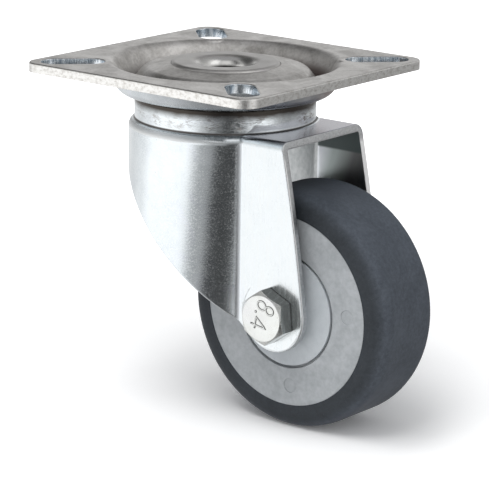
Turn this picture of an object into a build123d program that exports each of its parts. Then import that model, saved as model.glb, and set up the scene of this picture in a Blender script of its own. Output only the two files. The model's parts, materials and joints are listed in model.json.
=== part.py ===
"""Swivel castor with a square fixing plate, a pressed steel fork and a wheel on ball bearings.

Millimetres, +Z up. The origin is the centre of the plate's top face, on the swivel axis.
The wheel trails along +X and turns about an axle along Y; the bolt's head is on the -Y side.
"""
from build123d import *
import math
import os

# ---------------------------------------------------------------- driving dimensions
# Fixing plate
plate_side = 60.0
plate_thickness = 2.0
plate_corner_radius = 3.7
sheared_edge_radius = 0.35
slot_width = 6.2
slot_edge_margin = 1.9
slot_dish_margin = 1.78
slot_land = 1.9
slot_land_radius = 0.8
slot_edge_rounding = 0.3

# Dish pressed into the plate: a channel round a low dome
dish_mouth_radius = 23.4
dish_depth = 4.5
dish_rim_bend = 2.6
dish_wall_run = 2.3
channel_width = 1.5
channel_bend = 0.5
dome_wall_run = 2.4
dome_shoulder_depth = 1.4
dome_shoulder_bend = 2.5
dome_edge_depth = 0.6

# Hollow king pin that rivets the head together
pin_flange_radius = 11.5
pin_flange_thickness = 1.2
pin_flange_below_plate = 0.1
pin_bore_radius = 5.0
pin_lip_radius = 2.6
pin_wall = 1.6
pin_rivet_lip = 2.0
pin_rivet_thickness = 1.5
pin_rivet_rounding = 0.9

# Swivel balls and the clearances of the swivel head
swivel_ball_radius = 2.5
ball_gap = 0.05
race_clearance = 0.1
crown_gap = 0.6
pin_clearance = 1.0
cup_wall = 1.3
cup_depth = 1.5
snug = 0.02

# Fork, pressed from one sheet
sheet = 1.5
crown_sink = 0.35
collar_clearance = 0.08
collar_height = 4.7
collar_edge_share = 0.84
collar_foot_radius = 0.4
collar_step = 1.2
fork_front_reach = 5.3
fork_back_height = 5.0
fork_bend = 0.4
fork_crease = 1.6
cut_edge_rounding = 0.25
leg_gap = 2.75
leg_edge_radius = 400.0
eye_radius = 7.8

# Wheel
trail = 23.84
wheel_drop = 47.74
wheel_radius = 25.0
tyre_width = 18.5
tyre_thickness = 5.0
tyre_edge_radius = 3.5
rim_setback = 0.1
rim_key_height = 1.4
rim_key_width = 6.0
mould_gap = 0.02
mark_radius = 1.5
mark_circle = 15.8
mark_depth = 0.15
mark_count = 4
mark_angle = 5.6

# Ball bearings in the wheel
bearing_bore_radius = 4.0
bearing_outer_radius = 11.0
bearing_width = 7.0
bearing_ball_radius = 1.985
bearing_ball_count = 7
bearing_shoulder = 2.1
bearing_recess = 1.0
groove_clearance = 0.08
cage_thickness = 1.6
cage_back = 0.85
seat_fit = 0.01

# Thread guards, axle sleeve, bolt and nut
guard_overlap = 0.5
guard_gap = 0.6
guard_boss_radius = 6.2
guard_edge = 0.7
guard_rise = 0.6
guard_clearance = 0.3
bolt_radius = 3.0
bolt_projection = 2.8
bolt_hole_clearance = 0.15
hex_across_flats = 10.0
head_height = 3.6
hex_face_share = 0.95
hex_chamfer_angle = 30.0
hex_turn = 36.0
nut_height = 6.0
nut_collar_radius = 4.5
nut_collar_height = 1.7
nut_insert_wall = 0.6
nut_insert_thickness = 1.1
nut_insert_lip = 0.5
bolt_end_chamfer = 0.7

# ---------------------------------------------------------------- derived places
swivel_axis = Axis.Z
head_section = Plane.XZ
axle_centre = (trail, 0, -wheel_drop)
axle_axis = Axis(axle_centre, (0, 1, 0))
wheel_section = Plane(origin=axle_centre)
near_side = -1
far_side = 1

channel_outer_radius = dish_mouth_radius - dish_wall_run
channel_inner_radius = channel_outer_radius - channel_width
dome_shoulder_radius = channel_inner_radius - dome_wall_run
slot_inner_end = dish_mouth_radius + slot_dish_margin + slot_width / 2
slot_outer_end = math.sqrt(2) * (plate_side / 2 - slot_edge_margin - slot_width / 2)

pin_radius = pin_bore_radius + pin_wall
pin_rivet_radius = pin_radius + pin_rivet_lip
pin_top = -pin_flange_below_plate
pin_seat = pin_top - pin_flange_thickness
dome_underside = pin_seat - plate_thickness
dish_bottom = -dish_depth - plate_thickness

# The upper balls touch the underside of the dome and of its flank, which is a straight cone.
flank_fall = dish_depth - dome_shoulder_depth
flank_length = math.hypot(dome_wall_run, flank_fall)
race_radius = swivel_ball_radius + race_clearance
upper_ball_z = dome_underside - race_radius
flank_offset = plate_thickness + race_radius
upper_ball_circle = dome_shoulder_radius + (
    (-dome_shoulder_depth - upper_ball_z) * dome_wall_run - flank_offset * flank_length
) / flank_fall
crown_top = dish_bottom - crown_gap
crown_inner_top = crown_top - crown_sink
crown_inner_underside = crown_inner_top - sheet
crown_hole_radius = pin_radius + pin_clearance

# The lower balls touch the crown's underside and the back of the groove that holds the upper balls.
groove_back_radius = race_radius + sheet
lower_ball_z = crown_inner_underside - race_radius
lower_ball_circle = upper_ball_circle - math.sqrt(
    (groove_back_radius + race_radius) ** 2 - (upper_ball_z - lower_ball_z) ** 2
)
cup_underside = lower_ball_z - race_radius - cup_depth
upper_ball_count = math.floor(2 * math.pi * upper_ball_circle / (2 * swivel_ball_radius + ball_gap))
lower_ball_count = math.floor(2 * math.pi * lower_ball_circle / (2 * swivel_ball_radius + ball_gap))

collar_radius = upper_ball_circle + groove_back_radius + collar_clearance
collar_edge_radius = collar_edge_share * sheet
fork_shoulder_z = crown_top - collar_height
fork_body_radius = collar_radius + collar_step
fork_front = fork_body_radius + fork_front_reach
fork_back_edge_z = fork_shoulder_z - fork_back_height

leg_inside = tyre_width / 2 + leg_gap
leg_outside = leg_inside + sheet
rim_radius = wheel_radius - tyre_thickness
rim_width = tyre_width - 2 * rim_setback
rim_face = rim_width / 2
guard_radius = bearing_outer_radius + guard_overlap
bearing_face = rim_face - bearing_recess
bearing_middle = bearing_face - bearing_width / 2
bearing_ball_circle = (bearing_bore_radius + bearing_outer_radius) / 2
sleeve_radius = bearing_bore_radius - snug
bolt_hole_radius = bolt_radius + bolt_hole_clearance
hex_corner_radius = hex_across_flats / math.sqrt(3)
nut_insert_radius = nut_collar_radius - nut_insert_wall


def write(part, name):
    """Label a finished piece and write it to its own file."""
    part.label = name
    export_step(part, f"parts/{name}.step")


os.makedirs("parts", exist_ok=True)

# ---------------------------------------------------------------- fixing plate
# Flat land kept round the inner end of each slot, where it reaches over the dish.
with BuildPart() as slot_lands:
    with BuildSketch():
        with PolarLocations(slot_inner_end, 4, start_angle=45):
            Circle(slot_width / 2 + slot_land)
    extrude(amount=-plate_thickness)
    fillet(slot_lands.faces().filter_by(Plane.XY).group_by(Axis.Z)[-1].edges(), radius=slot_land_radius)

with BuildPart() as top_plate:
    with BuildSketch():
        RectangleRounded(plate_side, plate_side, plate_corner_radius)
        Circle(dish_mouth_radius + dish_rim_bend, mode=Mode.SUBTRACT)
    extrude(amount=-plate_thickness)
    with BuildSketch(head_section):
        with BuildLine():
            surface = FilletPolyline(
                (dish_mouth_radius + 2 * dish_rim_bend, 0),
                (dish_mouth_radius, 0),
                (channel_outer_radius, -dish_depth),
                (channel_inner_radius, -dish_depth),
                (dome_shoulder_radius, -dome_shoulder_depth),
                (pin_flange_radius + snug, -dome_edge_depth),
                radius=[dish_rim_bend, channel_bend, channel_bend, dome_shoulder_bend],
            )
            offset(surface, amount=plate_thickness, side=Side.LEFT)
        make_face()
    revolve(axis=swivel_axis)
    with BuildSketch(Plane.XY.offset(pin_seat)):
        Circle(upper_ball_circle)
    extrude(amount=-plate_thickness)
    with BuildSketch(Plane.XY.offset(pin_seat)):
        Circle(pin_flange_radius + snug)
    extrude(amount=-pin_seat, mode=Mode.SUBTRACT)
    with BuildSketch():
        Circle(pin_radius + snug)
    extrude(amount=-dish_depth - plate_thickness, mode=Mode.SUBTRACT)
    add(slot_lands.part)
    with BuildSketch():
        with PolarLocations((slot_inner_end + slot_outer_end) / 2, 4, start_angle=45):
            SlotCenterToCenter(slot_outer_end - slot_inner_end, slot_width)
    extrude(amount=-dish_depth, mode=Mode.SUBTRACT)
    sheared_edges = top_plate.faces().filter_by(Plane.XY).sort_by(SortBy.AREA)[-1].outer_wire().edges()
    fillet(sheared_edges, radius=sheared_edge_radius)
    plate_face = top_plate.faces().filter_by(Plane.XY).group_by(Axis.Z)[-1].sort_by(SortBy.AREA)[-1]
    slot_rims = plate_face.inner_wires().sort_by(SortBy.LENGTH)[:4]
    fillet(slot_rims.edges(), radius=slot_edge_rounding)
write(top_plate.part, "top_plate")

# ---------------------------------------------------------------- king pin and lower race
with BuildPart() as king_pin:
    with BuildSketch(head_section) as pin_profile:
        with BuildLine():
            Polyline(
                (pin_bore_radius, pin_top),
                (pin_flange_radius, pin_top),
                (pin_flange_radius, pin_seat),
                (pin_radius, pin_seat),
                (pin_radius, cup_underside),
                (pin_rivet_radius, cup_underside),
                (pin_rivet_radius, cup_underside - pin_rivet_thickness),
                (pin_bore_radius, cup_underside - pin_rivet_thickness),
                close=True,
            )
        make_face()
        bore_corners = pin_profile.vertices().group_by(Axis.X)[0].sort_by(Axis.Z)
        fillet(bore_corners[-1], radius=pin_lip_radius)
        fillet(bore_corners[0], radius=pin_wall)
        rivet_corner = pin_profile.vertices().group_by(Axis.Z)[0].sort_by(Axis.X)[-1]
        fillet(rivet_corner, radius=pin_rivet_rounding)
    revolve(axis=swivel_axis)
write(king_pin.part, "king_pin")

cup_outer_radius = lower_ball_circle + race_radius + cup_wall
with BuildPart() as lower_race:
    with BuildSketch(head_section) as cup_profile:
        with BuildLine():
            Polyline(
                (pin_radius + snug, lower_ball_z),
                (cup_outer_radius, lower_ball_z),
                (cup_outer_radius, cup_underside),
                (pin_radius + snug, cup_underside),
                close=True,
            )
        make_face()
        fillet(cup_profile.vertices().group_by(Axis.Z)[0].sort_by(Axis.X)[-1], radius=cup_depth)
        with Locations((lower_ball_circle, lower_ball_z)):
            Circle(race_radius, mode=Mode.SUBTRACT)
    revolve(axis=swivel_axis)
write(lower_race.part, "lower_race")

# ---------------------------------------------------------------- swivel balls
with BuildPart() as upper_balls:
    with Locations((0, 0, upper_ball_z)):
        with PolarLocations(upper_ball_circle, upper_ball_count):
            Sphere(swivel_ball_radius)
write(upper_balls.part, "upper_balls")

with BuildPart() as lower_balls:
    with Locations((0, 0, lower_ball_z)):
        with PolarLocations(lower_ball_circle, lower_ball_count):
            Sphere(swivel_ball_radius)
write(lower_balls.part, "lower_balls")

# ---------------------------------------------------------------- fork
# Seen from above the fork is a round body with two flat legs running forward from it.
leg_reach = trail + 2 * eye_radius
fork_drop = wheel_drop + 2 * eye_radius
with BuildSketch(Plane.XY.offset(fork_shoulder_z)) as fork_plan:
    Circle(fork_body_radius)
    with Locations((leg_reach / 2, 0)):
        Rectangle(leg_reach, 2 * leg_outside)
    fillet(fork_plan.vertices().group_by(Axis.X)[0], radius=fork_crease)

# Seen from the side each leg narrows to a round eye about the axle, between slightly bowed edges.
with BuildPart() as fork_outline:
    with BuildSketch(Plane.XZ.offset(fork_body_radius)):
        with BuildLine():
            eye = CenterArc((trail, -wheel_drop), eye_radius, 0, 360, mode=Mode.PRIVATE)
            front_top = (fork_front, fork_shoulder_z)
            back_top = (-fork_body_radius, fork_back_edge_z)
            bowed = (eye, Tangency.ENCLOSING)
            front_edge = ConstrainedArcs(
                bowed, front_top, radius=leg_edge_radius, selector=lambda arcs: arcs.sort_by(Axis.X)[-1]
            )
            back_edge = ConstrainedArcs(
                bowed, back_top, radius=leg_edge_radius, selector=lambda arcs: arcs.sort_by(Axis.Y)[0]
            )
            front_foot = front_edge.vertices().sort_by(Axis.Y)[0]
            back_foot = back_edge.vertices().sort_by(Axis.Y)[0]
            ThreePointArc(front_foot, (trail, -wheel_drop - eye_radius), back_foot)
            Polyline(back_top, (-fork_body_radius, fork_shoulder_z), front_top)
        make_face()
    extrude(amount=-2 * fork_body_radius)

with BuildPart() as fork_hollow:
    with BuildSketch(Plane.XY.offset(fork_shoulder_z - sheet)):
        add(fork_plan.sketch_local)
        offset(amount=-sheet)
    extrude(amount=-fork_drop)
    fillet(fork_hollow.faces().filter_by(Plane.XY).sort_by(Axis.Z)[-1].edges(), radius=fork_bend)

# Section of the crown, which rises through the shoulder and carries both rings of balls.
collar_inside = collar_radius - sheet


def half_chord(radius, height):
    """Half the width of a circle at a height above or below its centre."""
    return math.sqrt(radius**2 - height**2)


groove_inner_edge = upper_ball_circle - half_chord(race_radius, upper_ball_z - crown_inner_top)
groove_outer_edge = upper_ball_circle + half_chord(race_radius, upper_ball_z - crown_top)
back_inner_edge = upper_ball_circle - half_chord(groove_back_radius, upper_ball_z - crown_inner_underside)
back_outer_z = upper_ball_z - half_chord(groove_back_radius, collar_inside - upper_ball_circle)

with BuildPart() as fork:
    add(fork_plan.sketch)
    extrude(amount=-fork_drop)
    fillet(fork.faces().filter_by(Plane.XY).sort_by(Axis.Z)[-1].edges(), radius=fork_bend + sheet)
    add(fork_hollow.part, mode=Mode.SUBTRACT)
    add(fork_outline.part, mode=Mode.INTERSECT)
    with BuildSketch(Plane.XY.offset(fork_shoulder_z - sheet)):
        Circle(collar_inside)
    extrude(amount=2 * sheet, mode=Mode.SUBTRACT)
    with BuildSketch(head_section) as crown_profile:
        with BuildLine():
            inner_top = Line((crown_hole_radius, crown_inner_top), (groove_inner_edge, crown_inner_top))
            groove = ThreePointArc(
                inner_top @ 1,
                (upper_ball_circle, upper_ball_z - race_radius),
                (groove_outer_edge, crown_top),
            )
            collar = Polyline(
                groove @ 1,
                (collar_radius, crown_top),
                (collar_radius, fork_shoulder_z - sheet),
                (collar_inside, fork_shoulder_z - sheet),
                (collar_inside, back_outer_z),
            )
            groove_back = ThreePointArc(
                collar @ 1,
                (upper_ball_circle, upper_ball_z - groove_back_radius),
                (back_inner_edge, crown_inner_underside),
            )
            Polyline(groove_back @ 1, (crown_hole_radius, crown_inner_underside), inner_top @ 0)
        make_face()
        fillet(crown_profile.vertices().group_by(Axis.Z)[-1].sort_by(Axis.X)[-1], radius=collar_edge_radius)
    revolve(axis=swivel_axis)
    with BuildSketch(Plane.XZ.offset(leg_outside)):
        with Locations((trail, -wheel_drop)):
            Circle(bolt_hole_radius)
    extrude(amount=-2 * leg_outside, mode=Mode.SUBTRACT)
    shoulder = fork.faces().filter_by(Plane.XY).group_by(Axis.Z)[1]
    collar_foot = shoulder.edges().filter_by(GeomType.CIRCLE).sort_by(SortBy.LENGTH)[-1]
    fillet(collar_foot, radius=collar_foot_radius)
    near_leg = fork.faces().filter_by(Plane.XZ).sort_by(Axis.Y)[0]
    bowed_edges = near_leg.edges().filter_by(GeomType.CIRCLE).group_by(SortBy.RADIUS)[-1]
    fillet(bowed_edges.sort_by(Axis.X)[-1], radius=cut_edge_rounding)
write(fork.part, "fork")

# ---------------------------------------------------------------- wheel
# Sections are drawn in the plane through the axle: x is the radius, y runs along the axle.
with BuildPart() as wheel_centre:
    with BuildSketch(wheel_section):
        with Locations((rim_radius / 2, 0)):
            Rectangle(rim_radius, rim_width)
        with Locations(((rim_radius + rim_key_height) / 2, 0)):
            Rectangle(rim_radius + rim_key_height, rim_key_width)
        with Locations(((guard_radius + guard_gap) / 2, 0)):
            Rectangle(guard_radius + guard_gap, rim_width, mode=Mode.SUBTRACT)
        with Locations(((guard_radius + guard_gap) / 2, 0)):
            Rectangle(guard_radius + guard_gap, 2 * bearing_face)
        with Locations(((bearing_outer_radius + seat_fit) / 2, 0)):
            Rectangle(bearing_outer_radius + seat_fit, 2 * bearing_face, mode=Mode.SUBTRACT)
        seat_radius = bearing_outer_radius - bearing_shoulder
        web_width = 2 * (bearing_face - bearing_width)
        with Locations(((seat_radius + rim_radius) / 2, 0)):
            Rectangle(rim_radius - seat_radius, web_width)
    revolve(axis=axle_axis)
    for side in (near_side, far_side):
        face_plane = Plane(origin=(trail, side * rim_face, -wheel_drop), x_dir=(1, 0, 0), z_dir=(0, side, 0))
        with BuildSketch(face_plane):
            with PolarLocations(mark_circle, mark_count, start_angle=-side * mark_angle):
                Circle(mark_radius)
        extrude(amount=-mark_depth, mode=Mode.SUBTRACT)
write(wheel_centre.part, "wheel_centre")

with BuildPart() as tyre:
    with BuildSketch(wheel_section) as tyre_profile:
        with Locations(((rim_radius + wheel_radius) / 2, 0)):
            Rectangle(wheel_radius - rim_radius, tyre_width)
        fillet(tyre_profile.vertices().group_by(Axis.X)[-1], radius=tyre_edge_radius)
        with Locations((rim_radius, 0)):
            Rectangle(2 * mould_gap, tyre_width, mode=Mode.SUBTRACT)
        with Locations((rim_radius, 0)):
            Rectangle(2 * (rim_key_height + mould_gap), rim_key_width + 2 * mould_gap, mode=Mode.SUBTRACT)
    revolve(axis=axle_axis)
write(tyre.part, "tyre")


# ---------------------------------------------------------------- ball bearings
def bearing_pieces(side):
    """Outer ring, inner ring, balls and cage of the bearing on one side of the wheel."""
    middle = side * bearing_middle
    groove_radius = bearing_ball_radius + groove_clearance
    ring_depth = bearing_shoulder
    with BuildPart() as outer_ring:
        with BuildSketch(wheel_section):
            with Locations((bearing_outer_radius - ring_depth / 2, middle)):
                Rectangle(ring_depth, bearing_width)
            with Locations((bearing_ball_circle, middle)):
                Circle(groove_radius, mode=Mode.SUBTRACT)
        revolve(axis=axle_axis)
    with BuildPart() as inner_ring:
        with BuildSketch(wheel_section):
            with Locations((bearing_bore_radius + ring_depth / 2, middle)):
                Rectangle(ring_depth, bearing_width)
            with Locations((bearing_ball_circle, middle)):
                Circle(groove_radius, mode=Mode.SUBTRACT)
        revolve(axis=axle_axis)
    ball_plane = Plane(origin=(trail, middle, -wheel_drop), x_dir=(1, 0, 0), z_dir=(0, side, 0))
    with BuildPart(ball_plane) as balls:
        with PolarLocations(bearing_ball_circle, bearing_ball_count):
            Sphere(bearing_ball_radius)
    cage_inner = -bearing_ball_radius / 2
    cage_outer = bearing_ball_radius + groove_clearance + cage_back
    with BuildPart() as cage:
        with BuildSketch(wheel_section):
            with Locations((bearing_ball_circle, middle - side * (cage_inner + cage_outer) / 2)):
                Rectangle(cage_thickness, cage_outer - cage_inner)
        revolve(axis=axle_axis)
        with Locations(ball_plane):
            with PolarLocations(bearing_ball_circle, bearing_ball_count):
                Sphere(groove_radius, mode=Mode.SUBTRACT)
    return {
        "bearing_outer_ring": outer_ring.part,
        "bearing_inner_ring": inner_ring.part,
        "bearing_balls": balls.part,
        "bearing_cage": cage.part,
    }


for side, side_name in ((near_side, "near"), (far_side, "far")):
    for piece_name, piece in bearing_pieces(side).items():
        write(piece, f"{piece_name}_{side_name}")

# ---------------------------------------------------------------- thread guards
for side, side_name in ((near_side, "near"), (far_side, "far")):
    guard_back = bearing_face + guard_clearance
    guard_front = guard_back + guard_edge
    with BuildPart() as thread_guard:
        with BuildSketch(wheel_section):
            with BuildLine():
                Polyline(
                    (sleeve_radius + snug, side * bearing_face),
                    (sleeve_radius + snug, side * leg_inside),
                    (guard_boss_radius, side * leg_inside),
                    (guard_boss_radius, side * (guard_front + guard_rise)),
                    (guard_radius, side * guard_front),
                    (guard_radius, side * guard_back),
                    (bearing_bore_radius + bearing_shoulder, side * guard_back),
                    (bearing_bore_radius + bearing_shoulder, side * bearing_face),
                    close=True,
                )
            make_face()
        revolve(axis=axle_axis)
    write(thread_guard.part, f"thread_guard_{side_name}")

# ---------------------------------------------------------------- axle sleeve, bolt and nut
with BuildPart() as axle_sleeve:
    with BuildSketch(wheel_section):
        with Locations(((bolt_hole_radius + sleeve_radius) / 2, 0)):
            Rectangle(sleeve_radius - bolt_hole_radius, 2 * leg_inside)
    revolve(axis=axle_axis)
write(axle_sleeve.part, "axle_sleeve")

hex_face_radius = hex_across_flats / 2 * hex_face_share
hex_chamfer_rise = (hex_corner_radius - hex_face_radius) * math.tan(math.radians(hex_chamfer_angle))

with BuildPart() as axle_bolt:
    head_top = -leg_outside - head_height
    with BuildSketch(wheel_section):
        with BuildLine():
            Polyline(
                (0, -leg_outside),
                (hex_corner_radius, -leg_outside),
                (hex_corner_radius, head_top + hex_chamfer_rise),
                (hex_face_radius, head_top),
                (0, head_top),
                close=True,
            )
        make_face()
    revolve(axis=axle_axis)
    with BuildSketch(Plane.XZ.offset(leg_outside)):
        with Locations((trail, -wheel_drop)):
            RegularPolygon(hex_across_flats / 2, 6, major_radius=False, rotation=hex_turn)
    extrude(amount=head_height, mode=Mode.INTERSECT)
    with BuildSketch(Plane.XZ.offset(leg_outside)):
        with Locations((trail, -wheel_drop)):
            Circle(bolt_radius - snug)
    extrude(amount=-2 * leg_outside - nut_height - bolt_projection)
    chamfer(axle_bolt.edges().sort_by(Axis.Y)[-1], length=bolt_end_chamfer)
write(axle_bolt.part, "axle_bolt")

nut_end = leg_outside + nut_height
nut_shoulder = nut_end - nut_collar_height
insert_start = nut_end - nut_insert_lip - nut_insert_thickness
with BuildPart() as axle_nut:
    with BuildSketch(wheel_section):
        with BuildLine():
            Polyline(
                (0, leg_outside),
                (hex_face_radius, leg_outside),
                (hex_corner_radius, leg_outside + hex_chamfer_rise),
                (hex_corner_radius, nut_shoulder - hex_chamfer_rise),
                (hex_face_radius, nut_shoulder),
                (0, nut_shoulder),
                close=True,
            )
        make_face()
    revolve(axis=axle_axis)
    with BuildSketch(Plane.XZ.offset(-leg_outside)):
        with Locations((trail, -wheel_drop)):
            RegularPolygon(hex_across_flats / 2, 6, major_radius=False, rotation=hex_turn)
    extrude(amount=-nut_height, mode=Mode.INTERSECT)
    with BuildSketch(wheel_section) as nut_collar:
        with Locations((nut_collar_radius / 2, (nut_shoulder + nut_end) / 2)):
            Rectangle(nut_collar_radius, nut_collar_height)
        fillet(nut_collar.vertices().group_by(Axis.Y)[-1].sort_by(Axis.X)[-1], radius=nut_insert_lip)
    revolve(axis=axle_axis)
    with BuildSketch(wheel_section):
        with Locations((bolt_radius / 2, leg_outside + nut_height / 2)):
            Rectangle(bolt_radius, nut_height)
        with Locations((nut_insert_radius / 2, insert_start + nut_insert_thickness / 2)):
            Rectangle(nut_insert_radius, nut_insert_thickness)
    revolve(axis=axle_axis, mode=Mode.SUBTRACT)
write(axle_nut.part, "axle_nut")

with BuildPart() as nut_insert:
    with BuildSketch(wheel_section):
        with Locations(((bolt_radius + nut_insert_radius) / 2, insert_start + nut_insert_thickness / 2)):
            Rectangle(nut_insert_radius - bolt_radius - snug, nut_insert_thickness - snug)
    revolve(axis=axle_axis)
write(nut_insert.part, "nut_insert")
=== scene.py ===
import json
import math

import bmesh
import bpy
from mathutils import Matrix, Vector


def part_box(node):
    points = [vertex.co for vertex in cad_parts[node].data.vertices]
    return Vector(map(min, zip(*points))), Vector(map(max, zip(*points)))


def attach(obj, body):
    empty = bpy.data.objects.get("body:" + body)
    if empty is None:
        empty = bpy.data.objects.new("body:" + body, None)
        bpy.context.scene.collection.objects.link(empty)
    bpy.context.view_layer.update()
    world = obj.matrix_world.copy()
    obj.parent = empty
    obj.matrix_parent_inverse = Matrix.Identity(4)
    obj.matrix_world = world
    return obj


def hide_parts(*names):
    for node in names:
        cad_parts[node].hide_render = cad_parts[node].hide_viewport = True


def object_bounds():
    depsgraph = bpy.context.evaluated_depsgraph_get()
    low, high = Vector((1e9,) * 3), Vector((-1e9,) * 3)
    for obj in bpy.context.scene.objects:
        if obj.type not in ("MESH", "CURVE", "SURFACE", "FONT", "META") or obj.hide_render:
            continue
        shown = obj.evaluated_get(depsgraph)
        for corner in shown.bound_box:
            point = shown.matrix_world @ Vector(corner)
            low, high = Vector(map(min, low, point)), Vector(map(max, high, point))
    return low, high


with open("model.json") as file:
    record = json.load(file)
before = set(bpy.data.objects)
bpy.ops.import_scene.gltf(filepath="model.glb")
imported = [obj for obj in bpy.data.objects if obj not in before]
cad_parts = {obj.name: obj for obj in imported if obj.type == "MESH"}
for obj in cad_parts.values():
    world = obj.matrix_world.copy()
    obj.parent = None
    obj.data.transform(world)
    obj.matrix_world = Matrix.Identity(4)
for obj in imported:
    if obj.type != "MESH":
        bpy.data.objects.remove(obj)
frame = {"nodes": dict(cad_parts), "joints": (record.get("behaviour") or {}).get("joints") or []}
cad_box = [list(corner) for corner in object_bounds()]

MM = 0.001
joints = {joint["name"]: joint for joint in frame["joints"]}
WHEEL_X, _, WHEEL_Z = joints["wheel_spin"]["pos_m"]
FLOOR_Z = cad_box[0][2]
HEAD_FACE_Y, BOLT_END_Y = (corner[1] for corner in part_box("axle_bolt"))
NUT_START_Y, NUT_END_Y = (corner[1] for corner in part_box("axle_nut"))
PLATE_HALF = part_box("top_plate")[1][0]

# Places on the castor where its finish changes, in mm, which is what past() and region() take.
# The nut lies on the far leg's outer face, and the near leg is as far out.
LEG_OUTSIDE = NUT_START_Y / MM
BESIDE_WHEEL = 9
COLLAR_RADIUS = 19.6
PLATE_RIM_START, PLATE_RIM_FULL = PLATE_HALF / MM - 1.8, PLATE_HALF / MM - 1.4

# ---------------------------------------------------------------- node helpers


def new_material(name):
    mat = bpy.data.materials.new(name)
    mat.use_nodes = True
    mat.node_tree.nodes.clear()
    return mat, mat.node_tree


def add(tree, kind, inputs=None, **props):
    """A node of that kind; inputs are values or the sockets that feed them."""
    node = tree.nodes.new("ShaderNode" + kind)
    for key, value in props.items():
        setattr(node, key, value)
    for key, value in (inputs or {}).items():
        socket = node.inputs[key]
        if isinstance(value, bpy.types.NodeSocket):
            tree.links.new(value, socket)
        else:
            socket.default_value = value
    return node


def calc(tree, operation, a, b=0.0):
    return add(tree, "Math", {0: a, 1: b}, operation=operation).outputs[0]


def times(tree, value, *others):
    """The values multiplied together."""
    for other in others:
        value = calc(tree, "MULTIPLY", value, other)
    return value


def weighted(tree, a, share_a, b, share_b):
    """Two values added up, each times its share."""
    return calc(tree, "ADD", times(tree, a, share_a), times(tree, b, share_b))


def largest(tree, value, *others):
    """The greatest of the values."""
    for other in others:
        value = calc(tree, "MAXIMUM", value, other)
    return value


def size(tree, value):
    """The value without its sign."""
    return calc(tree, "ABSOLUTE", value)


def distance(tree, a, b):
    """How far a place lies from an axis, by its two parts square to that axis."""
    return calc(tree, "SQRT", weighted(tree, a, a, b, b))


def from_axle(tree, x, z):
    """How far a place lies from the wheel's axle."""
    return distance(tree, calc(tree, "SUBTRACT", x, WHEEL_X), calc(tree, "SUBTRACT", z, WHEEL_Z))


def mix(tree, factor, a, b, blend="MIX"):
    """Two colours mixed by a factor."""
    a = (*a, 1.0) if isinstance(a, tuple) else a
    b = (*b, 1.0) if isinstance(b, tuple) else b
    node = add(tree, "Mix", {0: factor, 6: a, 7: b}, data_type="RGBA", blend_type=blend)
    return node.outputs[2]


def blend_values(tree, factor, a, b):
    """Two plain values mixed by a factor."""
    return add(tree, "Mix", {0: factor, 2: a, 3: b}, data_type="FLOAT").outputs[0]


def remap(tree, value, low, high, to_low=0.0, to_high=1.0, smooth=False):
    inputs = {"Value": value, "From Min": low, "From Max": high,
              "To Min": to_low, "To Max": to_high}
    kind = "SMOOTHSTEP" if smooth else "LINEAR"
    return add(tree, "MapRange", inputs, interpolation_type=kind, clamp=True).outputs[0]


def past(tree, value, start, full):
    """0 up to start and 1 from full on, both in mm. With full below start it runs downward."""
    return remap(tree, value, start * MM, full * MM)


def region(tree, value, low, high, soft):
    """1 between low and high, 0 outside and soft at both ends, all in mm."""
    return times(tree, past(tree, value, low - soft, low + soft),
                 past(tree, value, high + soft, high - soft))


def noise(tree, place, scale, detail=3.0, rough=0.55, warp=0.0):
    inputs = {"Vector": place, "Scale": scale, "Detail": detail, "Roughness": rough,
              "Distortion": warp}
    return add(tree, "TexNoise", inputs).outputs["Fac"]


def streaks(tree, place, scales, detail, rough):
    """Noise with its own scale along each axis, so that it can run one way."""
    place = add(tree, "Mapping", {"Vector": place, "Scale": scales}).outputs[0]
    return noise(tree, place, 1.0, detail, rough)


def rings(tree, radius, scale, detail=3.0, rough=0.6):
    """Turning lines: noise that changes with the radius alone."""
    place = add(tree, "CombineXYZ", {0: times(tree, radius, scale)}).outputs[0]
    return noise(tree, place, 1.0, detail, rough)


def soft_edges(tree, radius):
    """The surface's normal with sharp edges rounded to a radius in mm."""
    return add(tree, "Bevel", {"Radius": radius * MM}, samples=4).outputs[0]


def bump(tree, height, depth, normal):
    """The normal over a relief that is depth mm high."""
    inputs = {"Height": height, "Distance": depth * MM, "Strength": 1.0, "Normal": normal}
    return add(tree, "Bump", inputs).outputs[0]


def output(tree, shader):
    add(tree, "OutputMaterial", {"Surface": shader})


def principled(tree, colour, roughness, normal, **others):
    inputs = {"Base Color": colour, "Roughness": roughness, "Normal": normal, **others}
    shader = add(tree, "BsdfPrincipled", inputs)
    output(tree, shader.outputs[0])
    return shader


def places(tree):
    """The place on the object, its three parts and the normal's three parts."""
    coord = add(tree, "TexCoord")
    place, normal = coord.outputs["Object"], coord.outputs["Normal"]
    p = add(tree, "SeparateXYZ", {0: place}).outputs
    n = add(tree, "SeparateXYZ", {0: normal}).outputs
    return place, p, n


def fed(shader, key):
    """What feeds that input of the shader now."""
    return shader.inputs[key].links[0].from_socket


def relief(tree, shader, height, depth):
    """Lays another relief over the one that the shader has."""
    shape = bump(tree, height, depth, fed(shader, "Normal"))
    tree.links.new(shape, shader.inputs["Normal"])


def recolour(tree, shader, mask, colour, roughness, height=None, depth=0.0):
    """Lays another finish over the one that the shader has, where mask is 1."""
    colour = mix(tree, mask, fed(shader, "Base Color"), colour)
    tree.links.new(colour, shader.inputs["Base Color"])
    roughness = blend_values(tree, mask, fed(shader, "Roughness"), roughness)
    tree.links.new(roughness, shader.inputs["Roughness"])
    if height is not None:
        relief(tree, shader, times(tree, height, mask), depth)


# ---------------------------------------------------------------- zinc plate


def tinted(colour, *shares):
    """The colour with each of its three parts times a share."""
    return tuple(part * share for part, share in zip(colour, shares))


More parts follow.
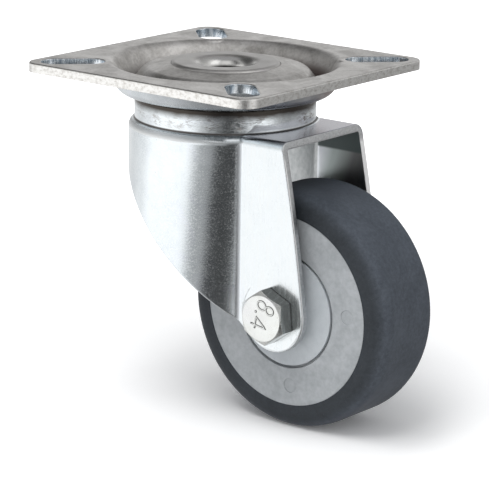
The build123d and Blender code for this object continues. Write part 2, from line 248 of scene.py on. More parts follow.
def zinc(name, light, dark, rough, grain=1.0, wave=1.0, streak=(900, 900, 60), edge=0.12):
    """Bright zinc plating on pressed steel, and the parts that a caller may still change.

    light and dark are the tones of its clouds and rough the range of its roughness. grain and wave
    scale the fine and the broad relief, streak gives the drawing lines' scale along each axis, and
    edge is the radius in mm to which edges look rounded.
    """
    mat, tree = new_material(name)
    place, p, n = places(tree)
    cloud = noise(tree, place, 70, 3, 0.6, 0.6)
    mottle = noise(tree, place, 480, 5, 0.62)
    fine = noise(tree, place, 2600, 3, 0.6)
    drawn = streaks(tree, place, streak, 4, 0.65)
    tone = remap(tree, weighted(tree, cloud, 0.55, mottle, 0.45), 0.36, 0.62)
    colour = mix(tree, tone, dark, light)
    tint = remap(tree, noise(tree, place, 120, 2, 0.5, 1.2), 0.52, 0.72, 0.0, 0.35)
    colour = mix(tree, tint, colour, tinted(light, 0.96, 0.93, 1.02))
    # small dark specks, in patches
    cells = add(tree, "TexVoronoi", {"Vector": place, "Scale": 900.0, "Randomness": 1.0})
    patch = remap(tree, noise(tree, place, 260, 3), 0.5, 0.7)
    specks = times(tree, remap(tree, cells.outputs["Distance"], 0.16, 0.08), patch, 0.5)
    colour = mix(tree, specks, colour, tinted(dark, 0.5, 0.48, 0.45))
    roughness = remap(tree, weighted(tree, mottle, 0.6, drawn, 0.4), 0.35, 0.65, *rough)
    shape = bump(tree, noise(tree, place, 75, 2, 0.5), 0.22 * wave, soft_edges(tree, edge))
    shape = bump(tree, drawn, 0.02 * wave, shape)
    shape = bump(tree, fine, 0.014 * grain, shape)
    shader = principled(tree, colour, roughness, shape, Metallic=1.0)
    return mat, tree, shader, place, p, n


# ---------------------------------------------------------------- fork


def fork_inside_painted_shade(tree, shader, place, p, n):
    """The inside of the pressing is rougher, and painted darker as shade."""
    x, y, z = p
    inward = times(tree, n[1], calc(tree, "SIGN", y))
    cup = weighted(tree, n[0], x, n[1], y)
    # painted shade: the inside of the pressing is given a darker grey
    shaded_inside = largest(tree, remap(tree, inward, -0.3, -0.6), past(tree, cup, -4, -9))
    shaded_inside = times(tree, shaded_inside, past(tree, z, -13.0, -13.4))
    dull = noise(tree, place, 700, 5, 0.7)
    colour = mix(tree, remap(tree, dull, 0.35, 0.65), (0.37, 0.39, 0.395), (0.52, 0.535, 0.54))
    recolour(tree, shader, shaded_inside, colour, 0.36, dull, 0.02)
    # inside the legs a painted reflection is bright along the crease, and painted shade darkens it
    # toward the open end and the crown
    hollow_painted_light = times(tree, shaded_inside, past(tree, size(tree, y), BESIDE_WHEEL, BESIDE_WHEEL + 2))
    hollow_painted_light = times(tree, hollow_painted_light, past(tree, x, 15.2, 15.5))
    away = calc(tree, "SUBTRACT", x, times(tree, z, 0.3))
    painted_reflection_and_shade = mix(tree, past(tree, away, 22.0, 25.0), (0.92, 0.95, 1.0), (0.57, 0.63, 0.62))
    painted_reflection_and_shade = mix(tree, past(tree, away, 26.0, 30.5), painted_reflection_and_shade, (0.25, 0.25, 0.25))
    painted_reflection_and_shade = mix(tree, past(tree, z, -18.1, -17.7), painted_reflection_and_shade, (0.14, 0.165, 0.165))
    recolour(tree, shader, hollow_painted_light, painted_reflection_and_shade, 0.34)


def fork_cuts(tree, shader, place, p, n):
    """Sheared edges of the sheet: a grey, finely torn face across the thickness."""
    x, y, z = p
    front = times(tree, remap(tree, size(tree, n[1]), 0.55, 0.25), past(tree, x, 6, 9),
                  past(tree, z, -14.6, -15.6))
    foot = times(tree, remap(tree, n[2], -0.35, -0.6), past(tree, z, -15.8, -16.6))
    brow = times(tree, remap(tree, n[0], 0.45, 0.7), past(tree, x, 20, 21))
    torn = streaks(tree, place, (2600, 1500, 2600), 4, 0.7)
    colour = mix(tree, remap(tree, torn, 0.35, 0.62), (0.60, 0.61, 0.61), (0.96, 0.97, 0.97))
    recolour(tree, shader, largest(tree, front, foot, brow), colour, 0.36, torn, 0.02)
    recolour(tree, shader, times(tree, brow, 0.5), (0.42, 0.43, 0.45), 0.36)
    # the far leg's cut and the burr along the near one are bright and matt
    burr = past(tree, y, 0.55 - LEG_OUTSIDE, 0.35 - LEG_OUTSIDE)
    burr = largest(tree, burr, past(tree, y, BESIDE_WHEEL, BESIDE_WHEEL + 1))
    recolour(tree, shader, times(tree, front, burr), (0.99, 0.99, 0.99), 0.65)


def fork_collar(tree, shader, place, p, n):
    """The round body's ledge, and the drawn collar that stands on it."""
    x, y, z = p
    radius = distance(tree, x, y)
    # painted shade: the ledge's top beside the collar is darker, as under the plate
    beyond = past(tree, radius, COLLAR_RADIUS + 0.1, COLLAR_RADIUS + 0.4)
    shaded_ledge = times(tree, remap(tree, n[2], 0.7, 0.9), beyond)
    recolour(tree, shader, times(tree, shaded_ledge, 0.8), (0.37, 0.35, 0.39), 0.24)
    # the collar is scuffed and stained round its height, and its top under the bowl is painted
    # near black as shade, with a ragged edge
    stain = streaks(tree, place, (520, 520, 1500), 5, 0.75)
    patch = remap(tree, noise(tree, place, 110, 3, 0.6), 0.44, 0.58)
    high = past(tree, calc(tree, "ADD", z, times(tree, patch, 0.8 * MM)), -10.9, -9.9)
    dirty = times(tree, past(tree, z, -11.7, -11.4), high, remap(tree, patch, 0.0, 1.0, 0.2, 1.0))
    stained = times(tree, dirty, remap(tree, stain, 0.47, 0.60, 0.0, 0.85))
    recolour(tree, shader, stained, (0.24, 0.20, 0.175), 0.30, stain, 0.02)
    shoulder = times(tree, region(tree, z, -13.6, -11.9, 0.1),
                     past(tree, radius, COLLAR_RADIUS - 0.15, COLLAR_RADIUS),
                     past(tree, x, 14, 3))
    recolour(tree, shader, shoulder, (0.90, 0.92, 0.93), 0.5)
    # painted shade in the crease at the collar's foot
    crevice_shade = times(tree, region(tree, z, -12.0, -11.55, 0.1),
                    past(tree, radius, COLLAR_RADIUS, COLLAR_RADIUS - 0.25))
    recolour(tree, shader, crevice_shade, (0.16, 0.15, 0.145), 0.4)
    # painted shade under the bowl, over the collar's top
    ragged = times(tree, calc(tree, "SUBTRACT", patch, 0.5), 0.25 * MM)
    shade_edge = past(tree, calc(tree, "ADD", z, ragged), -9.4, -7.9)
    shade_under_bowl = times(tree, shade_edge, past(tree, radius, 16.6, 17))
    recolour(tree, shader, shade_under_bowl, (0.07, 0.062, 0.055), 0.3)


def fork_legs(tree, shader, place, p, n):
    """The legs' outer faces: a matt crease, scuffs, and a faint ring pressed round the axle."""
    x, y, z = p
    outward, flat = size(tree, y), size(tree, n[1])
    crease = times(tree, region(tree, x, 14.7, 17.0, 0.5), past(tree, outward, 12.6, 12.9),
                   remap(tree, flat, 0.992, 0.96), past(tree, z, -13.2, -13.6))
    recolour(tree, shader, crease, (0.86, 0.90, 0.93), 0.48)
    outer = past(tree, outward, LEG_OUTSIDE - 0.3, LEG_OUTSIDE - 0.1)
    scuffed = streaks(tree, place, (1500, 300, 160), 5, 0.7)
    scuffs = remap(tree, scuffed, 0.38, 0.55, 0.0, 0.5)
    rubbed = mix(tree, scuffs, (0.77, 0.80, 0.81), fed(shader, "Base Color"))
    face = times(tree, outer, remap(tree, flat, 0.985, 0.998), past(tree, x, 5, 7))
    roughness = remap(tree, scuffed, 0.35, 0.65, 0.17, 0.30)
    recolour(tree, shader, face, rubbed, roughness, scuffed, 0.012)
    ring = times(tree, region(tree, from_axle(tree, x, z), 7.3, 7.5, 0.12), outer)
    worn = remap(tree, noise(tree, place, 160, 2), 0.48, 0.6)
    ring = times(tree, ring, times(tree, worn, 0.85))
    recolour(tree, shader, ring, (0.52, 0.54, 0.55), 0.25, ring, -0.06)


def fork_material():
    mat, tree, shader, place, p, n = zinc(
        "fork_zinc_plated", (0.83, 0.88, 0.905), (0.71, 0.76, 0.79), (0.05, 0.11),
        grain=0.3, wave=0.15, edge=0.45)
    # dull specks in the bright plate
    flecks = remap(tree, noise(tree, place, 2800, 3, 0.6), 0.50, 0.66)
    recolour(tree, shader, flecks, (0.84, 0.88, 0.90), 0.19)
    for dress in (fork_inside_painted_shade, fork_cuts, fork_collar, fork_legs):
        dress(tree, shader, place, p, n)
    return mat


# ---------------------------------------------------------------- plate, pin and bolt


def plate_material():
    mat, tree, shader, place, p, n = zinc(
        "plate_zinc_plated", (0.82, 0.86, 0.885), (0.66, 0.70, 0.73), (0.2, 0.32),
        streak=(120, 120, 120))
    x, y, z = p
    radius = distance(tree, x, y)
    # satin, warm grey upper side, painted darker than the sides partly as shade, with turning
    # lines in the dish
    top = remap(tree, n[2], 0.15, 0.45)
    satin = noise(tree, place, 1500, 5, 0.7)
    broad = noise(tree, place, 150, 4, 0.6, 0.8)
    tone = remap(tree, weighted(tree, satin, 0.35, broad, 0.65), 0.38, 0.6)
    grey = mix(tree, tone, (0.46, 0.445, 0.425), (0.80, 0.785, 0.765))
    in_dish = past(tree, radius, 24.5, 23)
    height = weighted(tree, satin, 0.4, rings(tree, radius, 1500.0), in_dish)
    recolour(tree, shader, top, grey, 0.36, height, 0.016)
    # the dish's wall is rougher than the flat and painted a little darker, and the foot of the
    # channel is painted dark all round, both as shade
    bowl = times(tree, region(tree, radius, 20.2, 24.0, 0.5), past(tree, z, -0.2, -0.7), top)
    recolour(tree, shader, bowl, mix(tree, 0.12, grey, (0.2, 0.19, 0.18)), 0.52)
    # painted shade at the channel's foot
    foot = times(tree, past(tree, z, -2.9, -4.3), past(tree, radius, 16.9, 17.3),
                 remap(tree, broad, 0.35, 0.6, 0.5, 0.85), top)
    recolour(tree, shader, foot, (0.25, 0.235, 0.225), 0.42)
    # painted shade lies in the channel, darkest toward one end
    end = weighted(tree, x, 0.72, y, 0.69)
    channel_end_shade = times(tree, past(tree, end, 9, 20), past(tree, z, -2.2, -4.0),
                 remap(tree, broad, 0.3, 0.55, 0.5, 0.95))
    recolour(tree, shader, channel_end_shade, (0.20, 0.155, 0.145), 0.42)
    # the plate's sheared rim
    side = remap(tree, size(tree, n[2]), 0.75, 0.55)
    out = largest(tree, size(tree, x), size(tree, y))
    rim = times(tree, side, past(tree, out, PLATE_RIM_START, PLATE_RIM_FULL))
    torn = streaks(tree, place, (900, 900, 1500), 5, 0.7)
    colour = mix(tree, remap(tree, torn, 0.32, 0.55), (0.55, 0.53, 0.50), (0.86, 0.855, 0.835))
    recolour(tree, shader, rim, colour, 0.3, torn, 0.01)
    # the slots' walls
    wall = times(tree, side, past(tree, radius, 24.6, 25),
                 past(tree, out, PLATE_RIM_FULL, PLATE_RIM_START))
    drag = streaks(tree, place, (2600, 2600, 400), 4, 0.7)
    colour = mix(tree, remap(tree, drag, 0.35, 0.6), (0.30, 0.36, 0.42), (0.86, 0.90, 0.93))
    recolour(tree, shader, wall, colour, 0.2, drag, 0.03)
    return mat


def pin_material():
    mat, tree, shader, _, p, n = zinc(
        "pin_zinc_plated", (0.62, 0.61, 0.59), (0.46, 0.45, 0.44), (0.3, 0.45),
        streak=(150, 150, 900))
    x, y, z = p
    radius = distance(tree, x, y)
    relief(tree, shader, rings(tree, radius, 2200.0), 0.012)
    # the flared mouth of the bore is smoother and painted brighter as a highlight, and the bore
    # below is painted dark as shade
    mouth_polish_and_highlight = times(tree, remap(tree, n[2], 0.93, 0.8), past(tree, radius, 7.4, 7.0))
    recolour(tree, shader, mouth_polish_and_highlight, (0.66, 0.655, 0.64), 0.17)
    # painted shade deep in the bore
    bore_shade = times(tree, past(tree, z, -2.0, -2.3), past(tree, radius, 7.0, 6.4))
    recolour(tree, shader, bore_shade, (0.05, 0.047, 0.045), 0.4)
    return mat


def bolt_material():
    mat, tree, shader, _, p, n = zinc(
        "bolt_zinc_plated", (0.805, 0.825, 0.81), (0.665, 0.675, 0.655), (0.2, 0.34),
        wave=0.5, streak=(300, 300, 300), edge=0.15)
    y = p[1]
    # the head's six sides are painted darker than its face, as shade
    shaded_head_sides = times(tree, remap(tree, size(tree, n[1]), 0.45, 0.25),
                  past(tree, y, -LEG_OUTSIDE, -LEG_OUTSIDE - 0.1))
    recolour(tree, shader, shaded_head_sides, (0.50, 0.52, 0.51), 0.2)
    # a painted shade line where the head meets the leg
    head_foot_shade = region(tree, y, -LEG_OUTSIDE - 0.22, -LEG_OUTSIDE, 0.06)
    recolour(tree, shader, head_foot_shade, (0.05, 0.05, 0.05), 0.5)
    # painted shade lies along the flanks of the figures
    proud = remap(tree, y, HEAD_FACE_Y + 0.005 * MM, HEAD_FACE_Y - 0.02 * MM)
    figure_flank_shade = times(tree, proud, remap(tree, n[1], -0.93, -0.75))
    recolour(tree, shader, figure_flank_shade, (0.16, 0.155, 0.15), 0.45)
    return mat


# ---------------------------------------------------------------- steel, plastic and rubber


def steel_material(name, light, dark, rough):
    """Ground or turned steel with fine turning lines round the axle."""
    mat, tree = new_material(name)
    place = places(tree)[0]
    lines = streaks(tree, place, (60, 1800, 60), 3, 0.7)
    cloud = noise(tree, place, 350, 4, 0.6)
    colour = mix(tree, remap(tree, cloud, 0.35, 0.65), dark, light)
    shape = bump(tree, lines, 0.006, soft_edges(tree, 0.12))
    principled(tree, colour, remap(tree, lines, 0.3, 0.7, *rough), shape, Metallic=1.0)
    return mat


def plastic_material(name, light, dark, rough, grain, edge=0.15):
    """Injection-moulded plastic: faint flow marks, a fine texture and a mottled sheen."""
    mat, tree = new_material(name)
    place = places(tree)[0]
    flow = noise(tree, place, 90, 3, 0.55, 1.5)
    mottle = noise(tree, place, 750, 5, 0.72)
    fine = noise(tree, place, 4200, 2, 0.5)
    tone = remap(tree, weighted(tree, flow, 0.4, mottle, 0.6), 0.38, 0.6)
    colour = mix(tree, tone, dark, light)
    shape = bump(tree, flow, 0.08, soft_edges(tree, edge))
    shape = bump(tree, fine, 0.012 * grain, shape)
    principled(tree, colour, remap(tree, mottle, 0.35, 0.65, *rough), shape,
               **{"Specular IOR Level": 0.4})
    return mat


def tyre_material():
    """Dark grey rubber: the walls are painted darker than the tread as shade, and show turning
    lines.
    """
    mat, tree = new_material("tyre_grey_rubber")
    place, (x, _, z), n = places(tree)
    cloud = noise(tree, place, 110, 4, 0.6, 0.8)
    mottle = noise(tree, place, 1300, 5, 0.7)
    fine = noise(tree, place, 5200, 2, 0.5)
    tone = remap(tree, weighted(tree, cloud, 0.35, mottle, 0.65), 0.38, 0.62)
    wall = remap(tree, size(tree, n[1]), 0.6, 0.95)
    tread_colour = mix(tree, tone, (0.050, 0.059, 0.073), (0.084, 0.097, 0.118))
    # painted shade: the walls get a darker copy of the tread's colour
    shaded_wall_colour = mix(tree, tone, (0.027, 0.032, 0.038), (0.044, 0.051, 0.060))
    bloom = remap(tree, noise(tree, place, 2400, 4, 0.75), 0.6, 0.72, 0.0, 0.35)
    colour = mix(tree, wall, tread_colour, shaded_wall_colour)
    colour = mix(tree, bloom, colour, (0.12, 0.135, 0.155))
    lines = rings(tree, from_axle(tree, x, z), 2600.0, 2, 0.5)
    shape = bump(tree, times(tree, lines, wall), 0.02, soft_edges(tree, 0.1))
    shape = bump(tree, mottle, 0.03, shape)
    shape = bump(tree, fine, 0.012, shape)
    principled(tree, colour, remap(tree, mottle, 0.3, 0.7, 0.62, 0.8), shape,
               **{"Specular IOR Level": 0.35})
    return mat


# ---------------------------------------------------------------- finishes of the CAD nodes

fork_zinc = fork_material()
plate_zinc = plate_material()
pin_zinc = pin_material()
bolt_zinc = bolt_material()
ring_steel = steel_material("bearing_ground_steel", (0.72, 0.72, 0.71), (0.55, 0.55, 0.55),
                            (0.12, 0.25))
sleeve_steel = steel_material("sleeve_turned_steel", (0.62, 0.62, 0.61), (0.48, 0.47, 0.46),
                              (0.25, 0.4))
wheel_plastic = plastic_material("wheel_grey_plastic", (0.465, 0.488, 0.505),
                                 (0.355, 0.375, 0.39), (0.42, 0.58), 1.6)
guard_plastic = plastic_material("guard_grey_plastic", (0.54, 0.575, 0.60),
                                 (0.48, 0.515, 0.54), (0.34, 0.46), 0.7)
cage_nylon = plastic_material("cage_nylon", (0.62, 0.60, 0.52), (0.52, 0.50, 0.43),
                              (0.4, 0.55), 0.6, 0.08)
insert_nylon = plastic_material("insert_nylon", (0.70, 0.72, 0.74), (0.60, 0.62, 0.65),
                                (0.4, 0.5), 0.6, 0.08)
tyre_rubber = tyre_material()

finishes = {
    "fork": fork_zinc, "top_plate": plate_zinc, "king_pin": pin_zinc, "lower_race": pin_zinc,
    "axle_bolt": bolt_zinc, "axle_nut": bolt_zinc, "nut_insert": insert_nylon,
    "axle_sleeve": sleeve_steel, "tyre": tyre_rubber, "wheel_centre": wheel_plastic,
    "thread_guard_near": guard_plastic, "thread_guard_far": guard_plastic,
    "upper_balls": ring_steel, "lower_balls": ring_steel,
}
for end in ("near", "far"):
    finishes["bearing_inner_ring_" + end] = ring_steel
    finishes["bearing_outer_ring_" + end] = ring_steel
    finishes["bearing_balls_" + end] = ring_steel
    finishes["bearing_cage_" + end] = cage_nylon
for name, material in finishes.items():
    for slot in frame["nodes"][name].material_slots:
        slot.material = material

# ---------------------------------------------------------------- figures on the bolt's head

BEAD_RADIUS = 0.23 * MM
BEAD_SIDES = 8
BEAD_FLATNESS = 0.8
BEAD_DEPTH = 0.02 * MM
STRAIGHT_PARTS = 6

# Where each figure's centre lies on the head, as x and z from the axle in mm, and its up way.
EIGHT = ((1.11, 2.41), (0.93, -0.37))
FOUR = ((-0.59, -1.11), (0.985, -0.17))
POINT = ((-1.38, 1.29), (0.93, -0.37))


def ellipse(centre_y, radius_x, radius_y, count=28):
    """Points round a closed ellipse in a figure's own plane, in mm."""
    turn = [2 * math.pi * k / count for k in range(count)]
    return [(radius_x * math.cos(a), centre_y + radius_y * math.sin(a)) for a in turn]


STROKES = (
    (EIGHT, ellipse(1.13, 0.82, 0.98), True),
    (EIGHT, ellipse(-1.05, 0.88, 1.06), True),
    (FOUR, [(0.55, -1.95), (0.55, 1.9), (-1.2, -0.85), (1.3, -0.85)], False),
    (POINT, ellipse(0, 0.09, 0.09, 8), True),
)


def subdivide(points, parts):
    """Points added evenly between corners, so that the bead turns sharply only at a corner."""
    dense = []
    for a, b in zip(points, points[1:]):
        dense += [a.lerp(b, k / parts) for k in range(parts)]
    return dense + [points[-1].copy()]


def bead(bm, points, closed):
    """A flattened round bead along the points, which lie in the plane of the head's face."""
    count = len(points)
    out = Vector((0, -1, 0))
    loops = []
    for k, here in enumerate(points):
        if closed:
            along = points[(k + 1) % count] - points[k - 1]
        else:
            along = points[min(k + 1, count - 1)] - points[max(k - 1, 0)]
        across = along.normalized().cross(out).normalized()
        loop = []
        for s in range(BEAD_SIDES):
            a = 2 * math.pi * s / BEAD_SIDES
            way = across * math.cos(a) + out * math.sin(a) * BEAD_FLATNESS
            loop.append(bm.verts.new(here + way * BEAD_RADIUS))
        loops.append(loop)
    if closed:
        loops.append(loops[0])
    for one, two in zip(loops, loops[1:]):
        for s in range(BEAD_SIDES):
            t = (s + 1) % BEAD_SIDES
            bm.faces.new((one[s], one[t], two[t], two[s]))
    if not closed:
        bm.faces.new(loops[0])
        bm.faces.new(list(reversed(loops[-1])))


def new_object(name, bm):
    """An object of that name with the mesh that was built, in the scene."""
    mesh = bpy.data.meshes.new(name)
    bm.to_mesh(mesh)
    bm.free()
    piece = bpy.data.objects.new(name, mesh)
    bpy.context.scene.collection.objects.link(piece)
    return piece


def head_figures():
    """Two raised figures and a point, cold-forged on the head."""
    axle = Vector((WHEEL_X, HEAD_FACE_Y + BEAD_DEPTH, WHEEL_Z))
    bm = bmesh.new()
    for (centre, upward), stroke, closed in STROKES:
        up = Vector((upward[0], 0, upward[1])).normalized()
        right = Vector((up.z, 0, -up.x))
        middle = Vector((centre[0], 0, centre[1]))
        points = [axle + (middle + right * a + up * b) * MM for a, b in stroke]
        if not closed:
            points = subdivide(points, STRAIGHT_PARTS)
        bead(bm, points, closed)
    bmesh.ops.recalc_face_normals(bm, faces=bm.faces)
    piece = new_object("head_figures", bm)
    piece.data.shade_smooth()
    piece.data.materials.append(bolt_zinc)
    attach(piece, "swivel_fork")


head_figures()

# ---------------------------------------------------------------- threaded bolt

PITCH, CREST, ROOT = 1.0 * MM, 3.0 * MM, 2.45 * MM
# Shares of half a pitch: the flat at the crest and the sloping flank.
CREST_SHARE, FLANK_SHARE = 0.12, 0.64
HIDDEN_LENGTH = 0.4 * MM
CHAMFER_LENGTH, CHAMFER_SLOPE = 0.75 * MM, 0.9
THREAD_SIDES, THREAD_STEPS = 64, 60
SHARP_ANGLE = math.radians(35)


def thread_radius(y, start, turn):
    """Radius of the thread at that place along the bolt, turn being the share of a full turn."""
    phase = ((y - start) / PITCH - turn) % 1.0
    depth = min(1.0, max(0.0, (abs(phase - 0.5) * 2 - CREST_SHARE) / FLANK_SHARE))
    chamfered = CREST - max(0.0, y - (BOLT_END_Y - CHAMFER_LENGTH)) * CHAMFER_SLOPE
    return min(chamfered, CREST - (CREST - ROOT) * depth)


def threaded_bolt():
    """The CAD bolt with a real screw thread in place of its plain end beyond the nut."""
    cad = frame["nodes"]["axle_bolt"]
    bm = bmesh.new()
    bm.from_mesh(cad.data)
    start = NUT_END_Y - HIDDEN_LENGTH
    geometry = bm.verts[:] + bm.edges[:] + bm.faces[:]
    bmesh.ops.bisect_plane(bm, geom=geometry, plane_co=(0, start, 0), plane_no=(0, 1, 0),
                           clear_outer=True)
    loops = []
    for k in range(THREAD_STEPS + 1):
        y = start + (BOLT_END_Y - start) * k / THREAD_STEPS
        loop = []
        for j in range(THREAD_SIDES):
            a = 2 * math.pi * j / THREAD_SIDES
            r = thread_radius(y, start, j / THREAD_SIDES)
            place = (WHEEL_X + r * math.cos(a), y, WHEEL_Z + r * math.sin(a))
            loop.append(bm.verts.new(place))
        loops.append(loop)
    for one, two in zip(loops, loops[1:]):
        for j in range(THREAD_SIDES):
            t = (j + 1) % THREAD_SIDES
            bm.faces.new((one[j], one[t], two[t], two[j])).smooth = True
    bm.faces.new(loops[-1])
    bmesh.ops.recalc_face_normals(bm, faces=bm.faces)
    piece = new_object("threaded_bolt", bm)
    piece.data.set_sharp_from_angle(angle=SHARP_ANGLE)
    piece.data.materials.append(bolt_zinc)
    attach(piece, "swivel_fork")
    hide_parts("axle_bolt")


threaded_bolt()

# ---------------------------------------------------------------- floor

FLOOR_RADIUS, FLOOR_SIDES = 4.0, 96
# The floor's tone as the castor sees it, and as the camera does: just over white.
FLOOR_TONE, FLOOR_TONE_SEEN = (0.9, 0.9, 0.9), (1.09, 1.09, 1.09)
# A glow grows from its least to its most between these distances from the castor, in metres.
GLOW_START, GLOW_FULL = 0.09, 0.3
GLOW_LEAST, GLOW_MOST = 0.06, 0.8


def studio_floor():
    """A white disc that shows the castor's shadow. From below it is clear, for low views."""
    bm = bmesh.new()
    bmesh.ops.create_circle(bm, cap_ends=True, radius=FLOOR_RADIUS,
                            segments=FLOOR_SIDES)
    floor = new_object("studio_floor", bm)
    floor.location.z = FLOOR_Z
    mat, tree = new_material("studio_floor_white")
    path = add(tree, "LightPath").outputs
    tone = mix(tree, path["Is Camera Ray"], FLOOR_TONE, FLOOR_TONE_SEEN)
    lit = add(tree, "BsdfDiffuse", {"Color": tone}).outputs[0]
    # the glow is for the camera alone, and fades the shadow's rim
    place = add(tree, "TexCoord").outputs["Object"]
    away = add(tree, "VectorMath", {0: place}, operation="LENGTH").outputs["Value"]
    glow = remap(tree, away, GLOW_START, GLOW_FULL, GLOW_LEAST, GLOW_MOST, smooth=True)
    seen = times(tree, path["Is Camera Ray"], glow)
    glowing = add(tree, "Emission", {"Color": (1, 1, 1, 1), "Strength": seen}).outputs[0]
    white = add(tree, "AddShader", {0: lit, 1: glowing}).outputs[0]
    back = add(tree, "NewGeometry").outputs["Backfacing"]
    clear = add(tree, "BsdfTransparent").outputs[0]
    output(tree, add(tree, "MixShader", {0: back, 1: white, 2: clear}).outputs[0])
    floor.data.materials.append(mat)
    floor.visible_glossy = False


studio_floor()

# ---------------------------------------------------------------- world

# Brightness of the studio's panels by direction, in degrees round: 0 is straight along -Y and 90
# along +X. Only glossy rays see them.
TABLE_SIDE = [
    (-180, 0.5), (-158, 0.7), (-130, 0.84), (-100, 0.8), (-80, 0.94), (-58, 1.23), (-12, 1.23),
    (-4, 1.1), (1.5, 0.62), (8, 0.44), (18.5, 0.40), (21, 0.34), (26, 0.085), (44, 0.066),
    (54, 0.10), (61, 0.4), (69, 1.05), (80, 1.2), (90, 1.05), (101, 0.44), (120, 0.31),
    (146, 0.36), (165, 0.44), (180, 0.5)]
NEAR_LEVEL = [
    (-180, 0.55), (-158, 0.76), (-142, 0.82), (-126, 0.55), (-108, 0.28), (-80, 0.25),
    (-62, 0.4), (-48, 0.9), (-20, 0.9), (-6, 0.5), (20, 0.3), (55, 0.3), (85, 0.6), (110, 0.75),
    (140, 0.72), (165, 0.6), (180, 0.55)]
ABOVE = [
    (-180, 0.42), (-158, 0.36), (-140, 0.2), (-118, 0.1), (-80, 0.1), (-60, 0.22), (-46, 0.5),
    (-30, 0.3), (-16, 0.15), (4, 0.5), (22, 0.9), (58, 0.9), (68, 0.7), (84, 1.3), (108, 1.4),
    (126, 0.85), (146, 0.55), (165, 0.46), (180, 0.42)]
BELOW = [
    (-180, 0.5), (-120, 0.62), (-60, 0.7), (-20, 0.5), (15, 0.2), (60, 0.10), (100, 0.14),
    (140, 0.3), (180, 0.5)]
ZENITH, NADIR = (0.40, 0.40, 0.41), (0.3, 0.3, 0.3)

# The table's panels lean: from LEAN_LOW up to LEAN_HIGH, in degrees of rise, their edges move
# LEAN_SHARE degrees round for each degree up. At a rise of -LEAN_OFFSET they are in place.
LEAN_LOW, LEAN_HIGH, LEAN_OFFSET, LEAN_SHARE = -17.0, -9.0, 13.4, 4.0

# The plain light that everything else sees: an even level, and two soft panels, each with its
# direction, its narrowness and its strength.
EVEN_LIGHT = (0.275, 0.28, 0.29)
FRONT_PANEL = ((0.50, -0.60, 0.62), 4.0, 0.92)
RIGHT_PANEL = ((0.98, 0.17, 0.0), 2.0, 0.16)


def ramp(tree, factor, stops):
    """A soft ramp of grey levels over directions in degrees, from -180 to 180."""
    node = add(tree, "ValToRGB", {"Fac": factor})
    node.color_ramp.interpolation = "EASE"
    elements = node.color_ramp.elements
    for k, (angle, level) in enumerate(stops):
        position = (angle + 180) / 360
        element = elements[k] if k < 2 else elements.new(position)
        element.position = position
        element.color = (level, level, level, 1)
    return node.outputs["Color"]


def panel(tree, toward, way, narrowness, strength):
    """A soft panel that lies that way and fades gently around it."""
    along = 0.0
    for part, share in zip(toward, way):
        along = calc(tree, "ADD", along, times(tree, part, share))
    along = largest(tree, along, 0.0)
    return times(tree, calc(tree, "POWER", along, narrowness), strength)


def studio_panels(tree, toward):
    """What glossy rays see: a ring of panels at each height, one fading into the next."""
    turn = calc(tree, "ARCTAN2", toward[0], times(tree, toward[1], -1.0))
    rise = times(tree, calc(tree, "ARCSINE", toward[2]), 180 / math.pi)
    low = add(tree, "Clamp", {0: rise, 1: LEAN_LOW, 2: LEAN_HIGH}).outputs[0]
    lean = times(tree, calc(tree, "ADD", low, LEAN_OFFSET), LEAN_SHARE)
    leaning = calc(tree, "SUBTRACT", times(tree, turn, 180 / math.pi), lean)
    studio = ramp(tree, remap(tree, leaning, -180.0, 180.0), TABLE_SIDE)
    around = remap(tree, turn, -math.pi, math.pi)
    # each layer with the rises, in degrees, where it starts and where it covers the one before
    layers = (
        (-2.0, 11.0, ramp(tree, around, NEAR_LEVEL)),
        (16.0, 34.0, ramp(tree, around, ABOVE)),
        (50.0, 72.0, ZENITH),
        (-26.0, -50.0, ramp(tree, around, BELOW)),
        (-55.0, -80.0, NADIR),
    )
    for start, full, layer in layers:
        studio = mix(tree, remap(tree, rise, start, full, smooth=True), studio, layer)
    return studio


def studio_world():
    """Plain light for everything, panels for glossy rays and white for the camera."""
    world = bpy.data.worlds.new("studio_world")
    bpy.context.scene.world = world
    world.use_nodes = True
    tree = world.node_tree
    tree.nodes.clear()
    toward = add(tree, "SeparateXYZ", {0: add(tree, "TexCoord").outputs["Generated"]}).outputs
    studio = studio_panels(tree, toward)
    front, right = panel(tree, toward, *FRONT_PANEL), panel(tree, toward, *RIGHT_PANEL)
    soft = calc(tree, "ADD", front, right)
    soft = add(tree, "CombineXYZ", {0: soft, 1: soft, 2: soft}).outputs[0]
    soft = mix(tree, 1.0, EVEN_LIGHT, soft, "ADD")
    path = add(tree, "LightPath").outputs
    plain = largest(tree, path["Is Camera Ray"], path["Is Transmission Ray"])
    colour = mix(tree, path["Is Glossy Ray"], soft, studio)
    colour = mix(tree, plain, colour, (1.0, 1.0, 1.0))
    background = add(tree, "Background", {"Color": colour, "Strength": 1.0})
    add(tree, "OutputWorld", {"Surface": background.outputs[0]})


studio_world()

# ---------------------------------------------------------------- lamps

LAMP_SIZE = 0.34
LAMP_AIM = Vector((10 * MM, 0, -40 * MM))


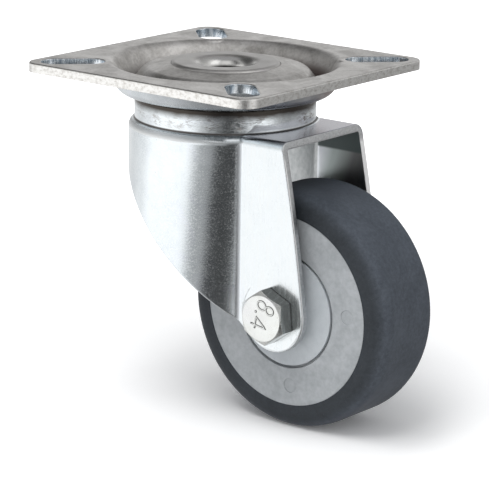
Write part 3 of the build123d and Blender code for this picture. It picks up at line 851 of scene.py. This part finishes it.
def lamp(name, position, power):
    """A square soft lamp that looks at the castor and shows in no reflection."""
    data = bpy.data.lights.new(name, "AREA")
    data.shape = "SQUARE"
    data.size = LAMP_SIZE
    data.energy = power
    obj = bpy.data.objects.new(name, data)
    obj.location = position
    obj.rotation_euler = (LAMP_AIM - obj.location).to_track_quat("-Z", "Y").to_euler()
    obj.visible_glossy = False
    bpy.context.scene.collection.objects.link(obj)


lamp("lamp_above", (-0.16, -0.07, 0.61), 1.8)
lamp("lamp_before", (0.06, -0.30, 0.57), 1.55)

# ---------------------------------------------------------------- camera

PICTURE_SIDE = 490
FOCAL_PIXELS = 2599.0
SENSOR_WIDTH = 36.0
AZIMUTH, ELEVATION, ROLL = math.radians(39.16), math.radians(14.22), math.radians(0.68)
CAMERA_DISTANCE = 0.55
# The place that the camera is turned round, and the pixel where it lies in the picture.
CAMERA_AIM = Vector((0, 0, -35 * MM))
AIM_U, AIM_V = 223.98, 222.99


def camera():
    back = Vector((math.sin(AZIMUTH) * math.cos(ELEVATION),
                   -math.cos(AZIMUTH) * math.cos(ELEVATION), math.sin(ELEVATION)))
    right = (-back).cross(Vector((0, 0, 1))).normalized()
    up = right.cross(-back)
    tilted_right = right * math.cos(ROLL) + up * math.sin(ROLL)
    tilted_up = up * math.cos(ROLL) - right * math.sin(ROLL)
    axes = Matrix((tilted_right, tilted_up, -back))
    ray = Vector(((AIM_U - PICTURE_SIDE / 2) / FOCAL_PIXELS,
                  (PICTURE_SIDE / 2 - AIM_V) / FOCAL_PIXELS, 1)).normalized()
    axes = Vector((0, 0, 1)).rotation_difference(ray).to_matrix() @ axes
    turned = Matrix((axes[0], axes[1], -axes[2])).transposed().to_4x4()
    data = bpy.data.cameras.new("photo_camera")
    data.sensor_width = SENSOR_WIDTH
    data.lens = FOCAL_PIXELS / PICTURE_SIDE * SENSOR_WIDTH
    obj = bpy.data.objects.new("photo_camera", data)
    obj.matrix_world = Matrix.Translation(CAMERA_AIM + back * CAMERA_DISTANCE) @ turned
    bpy.context.scene.collection.objects.link(obj)
    bpy.context.scene.camera = obj


camera()
bpy.context.scene.view_settings.view_transform = "Standard"
